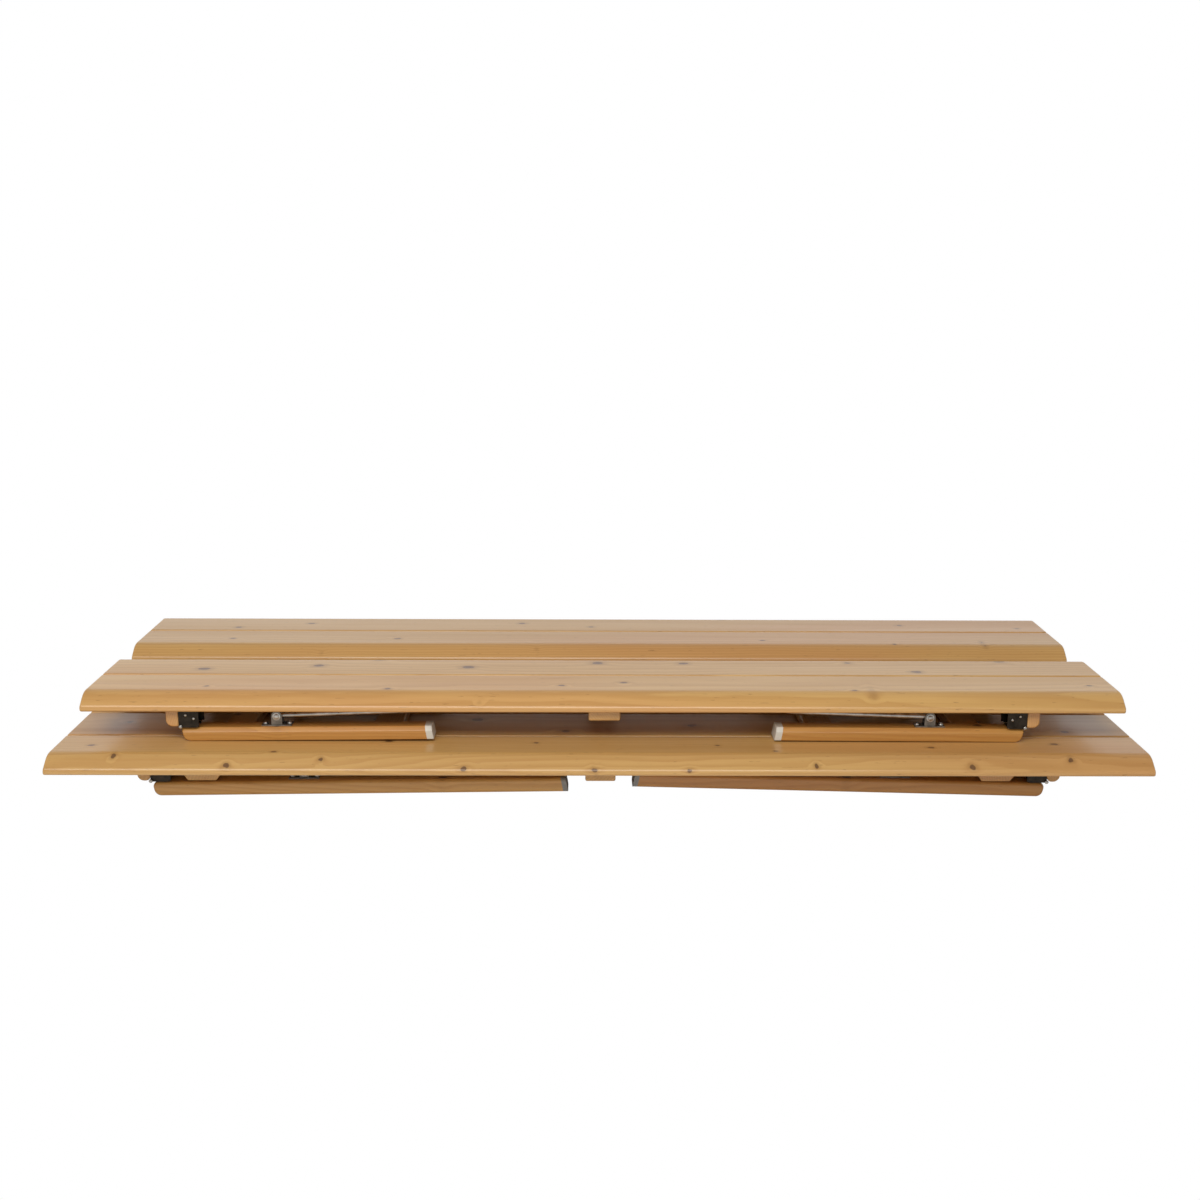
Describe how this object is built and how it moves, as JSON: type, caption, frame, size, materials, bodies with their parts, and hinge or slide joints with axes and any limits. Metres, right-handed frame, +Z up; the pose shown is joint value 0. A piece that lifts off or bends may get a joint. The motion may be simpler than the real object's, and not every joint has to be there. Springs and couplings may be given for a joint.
{
  "type": "folding picnic table set",
  "caption": "Folding wooden picnic table with two matching benches stacked on its top, leg frames hinged flat beneath, held open by steel bails.",
  "frame": {"origin": "centre of the stacked set on the ground, at the bottom of its bounding box", "axes": "+X along the boards towards the right end, +Y across the boards towards the back bench, +Z up"},
  "size_m": [1.8, 0.728, 0.166],
  "materials": {
    "pine_board": "honey lacquered knotty pine, semi-gloss",
    "pine_frame": "honey lacquered pine battens and legs, semi-gloss",
    "dark_steel": "dark burnished hinge steel",
    "zinc_steel": "galvanised steel, satin",
    "table_foot_plastic": "grey moulded plastic",
    "bench_foot_plastic": "whitish moulded plastic"
  },
  "bodies": {
    "table_top": {"table_board_1": "pine_board", "table_board_2": "pine_board", "table_board_3": "pine_board", "table_board_4": "pine_board", "table_board_5": "pine_board", "table_board_6": "pine_board", "table_centre_batten": "pine_frame", "table_end_batten_left": "pine_frame", "table_end_batten_right": "pine_frame", "table_hinge_brackets": "dark_steel", "table_inner_batten_left": "pine_frame", "table_inner_batten_right": "pine_frame", "table_stay_catches": "zinc_steel", "table_top_screws": "zinc_steel"},
    "table_leg_left": {"table_left_feet": "table_foot_plastic", "table_left_hardware": "zinc_steel", "table_left_rails": "pine_frame", "table_left_stile_back": "pine_frame", "table_left_stile_front": "pine_frame"},
    "table_stay_left": {"table_left_stay": "zinc_steel"},
    "table_leg_right": {"table_right_feet": "table_foot_plastic", "table_right_hardware": "zinc_steel", "table_right_rails": "pine_frame", "table_right_stile_back": "pine_frame", "table_right_stile_front": "pine_frame"},
    "table_stay_right": {"table_right_stay": "zinc_steel"},
    "bench_front_top": {"bench_front_board_back": "pine_board", "bench_front_board_front": "pine_board", "bench_front_centre_batten": "pine_frame", "bench_front_end_battens": "pine_frame", "bench_front_hinge_brackets": "dark_steel", "bench_front_screws": "zinc_steel", "bench_front_stay_catches": "zinc_steel"},
    "bench_front_leg_left": {"bench_front_left_feet": "bench_foot_plastic", "bench_front_left_hardware": "zinc_steel", "bench_front_left_rails": "pine_frame", "bench_front_left_stiles": "pine_frame"},
    "bench_front_stay_left": {"bench_front_left_stay": "zinc_steel"},
    "bench_front_leg_right": {"bench_front_right_feet": "bench_foot_plastic", "bench_front_right_hardware": "zinc_steel", "bench_front_right_rails": "pine_frame", "bench_front_right_stiles": "pine_frame"},
    "bench_front_stay_right": {"bench_front_right_stay": "zinc_steel"},
    "bench_back_top": {"bench_back_board_back": "pine_board", "bench_back_board_front": "pine_board", "bench_back_centre_batten": "pine_frame", "bench_back_end_battens": "pine_frame", "bench_back_hinge_brackets": "dark_steel", "bench_back_screws": "zinc_steel", "bench_back_stay_catches": "zinc_steel"},
    "bench_back_leg_left": {"bench_back_left_feet": "bench_foot_plastic", "bench_back_left_hardware": "zinc_steel", "bench_back_left_rails": "pine_frame", "bench_back_left_stiles": "pine_frame"},
    "bench_back_stay_left": {"bench_back_left_stay": "zinc_steel"},
    "bench_back_leg_right": {"bench_back_right_feet": "bench_foot_plastic", "bench_back_right_hardware": "zinc_steel", "bench_back_right_rails": "pine_frame", "bench_back_right_stiles": "pine_frame"},
    "bench_back_stay_right": {"bench_back_right_stay": "zinc_steel"}
  },
  "joints": [
    {"name": "bench_front_lift", "type": "slide", "parent": "table_top", "child": "bench_front_top", "axis": [0, 0, 1], "range_m": [0, 0.9]},
    {"name": "bench_back_lift", "type": "slide", "parent": "table_top", "child": "bench_back_top", "axis": [0, 0, 1], "range_m": [0, 0.9]},
    {"name": "table_leg_left_hinge", "type": "hinge", "parent": "table_top", "child": "table_leg_left", "pos_m": [-0.7424, 0, 0.02682], "axis": [0, 1, 0], "range_deg": [0, 100.7]},
    {"name": "table_stay_left_pivot", "type": "hinge", "parent": "table_leg_left", "child": "table_stay_left", "pos_m": [-0.4925, 0, 0.03687], "axis": [0, 1, 0], "range_deg": [-145.16, 0]},
    {"name": "table_leg_right_hinge", "type": "hinge", "parent": "table_top", "child": "table_leg_right", "pos_m": [0.7392, 0, 0.02682], "axis": [0, -1, 0], "range_deg": [0, 101.4]},
    {"name": "table_stay_right_pivot", "type": "hinge", "parent": "table_leg_right", "child": "table_stay_right", "pos_m": [0.48945, 0, 0.03993], "axis": [0, -1, 0], "range_deg": [-145.16, 0]},
    {"name": "bench_front_leg_left_hinge", "type": "hinge", "parent": "bench_front_top", "child": "bench_front_leg_left", "pos_m": [-0.6985, -0.165, 0.10802], "axis": [0, 1, 0], "range_deg": [0, 100.51]},
    {"name": "bench_front_stay_left_pivot", "type": "hinge", "parent": "bench_front_leg_left", "child": "bench_front_stay_left", "pos_m": [-0.54162, -0.165, 0.12239], "axis": [0, 1, 0], "range_deg": [-143.85, 0]},
    {"name": "bench_front_leg_right_hinge", "type": "hinge", "parent": "bench_front_top", "child": "bench_front_leg_right", "pos_m": [0.7085, -0.165, 0.10802], "axis": [0, -1, 0], "range_deg": [0, 100.31]},
    {"name": "bench_front_stay_right_pivot", "type": "hinge", "parent": "bench_front_leg_right", "child": "bench_front_stay_right", "pos_m": [0.55157, -0.165, 0.12184], "axis": [0, -1, 0], "range_deg": [-143.85, 0]},
    {"name": "bench_back_leg_left_hinge", "type": "hinge", "parent": "bench_back_top", "child": "bench_back_leg_left", "pos_m": [-0.7013, 0.133, 0.10802], "axis": [0, 1, 0], "range_deg": [0, 100.51]},
    {"name": "bench_back_stay_left_pivot", "type": "hinge", "parent": "bench_back_leg_left", "child": "bench_back_stay_left", "pos_m": [-0.54442, 0.133, 0.12239], "axis": [0, 1, 0], "range_deg": [-143.85, 0]},
    {"name": "bench_back_leg_right_hinge", "type": "hinge", "parent": "bench_back_top", "child": "bench_back_leg_right", "pos_m": [0.7057, 0.133, 0.10802], "axis": [0, -1, 0], "range_deg": [0, 100.31]},
    {"name": "bench_back_stay_right_pivot", "type": "hinge", "parent": "bench_back_leg_right", "child": "bench_back_stay_right", "pos_m": [0.54877, 0.133, 0.12184], "axis": [0, -1, 0], "range_deg": [-143.85, 0]}
  ],
  "couplings": [
    {"joint": "table_stay_left_pivot", "follows": "table_leg_left_hinge", "ratio": -1.4414},
    {"joint": "table_stay_right_pivot", "follows": "table_leg_right_hinge", "ratio": -1.4314},
    {"joint": "bench_front_leg_left_hinge", "follows": "bench_front_lift", "rad_per_m": 1.949},
    {"joint": "bench_front_stay_left_pivot", "follows": "bench_front_lift", "rad_per_m": -2.7894},
    {"joint": "bench_front_leg_right_hinge", "follows": "bench_front_lift", "rad_per_m": 1.9451},
    {"joint": "bench_front_stay_right_pivot", "follows": "bench_front_lift", "rad_per_m": -2.7894},
    {"joint": "bench_back_leg_left_hinge", "follows": "bench_back_lift", "rad_per_m": 1.949},
    {"joint": "bench_back_stay_left_pivot", "follows": "bench_back_lift", "rad_per_m": -2.7894},
    {"joint": "bench_back_leg_right_hinge", "follows": "bench_back_lift", "rad_per_m": 1.9451},
    {"joint": "bench_back_stay_right_pivot", "follows": "bench_back_lift", "rad_per_m": -2.7894}
  ]
}
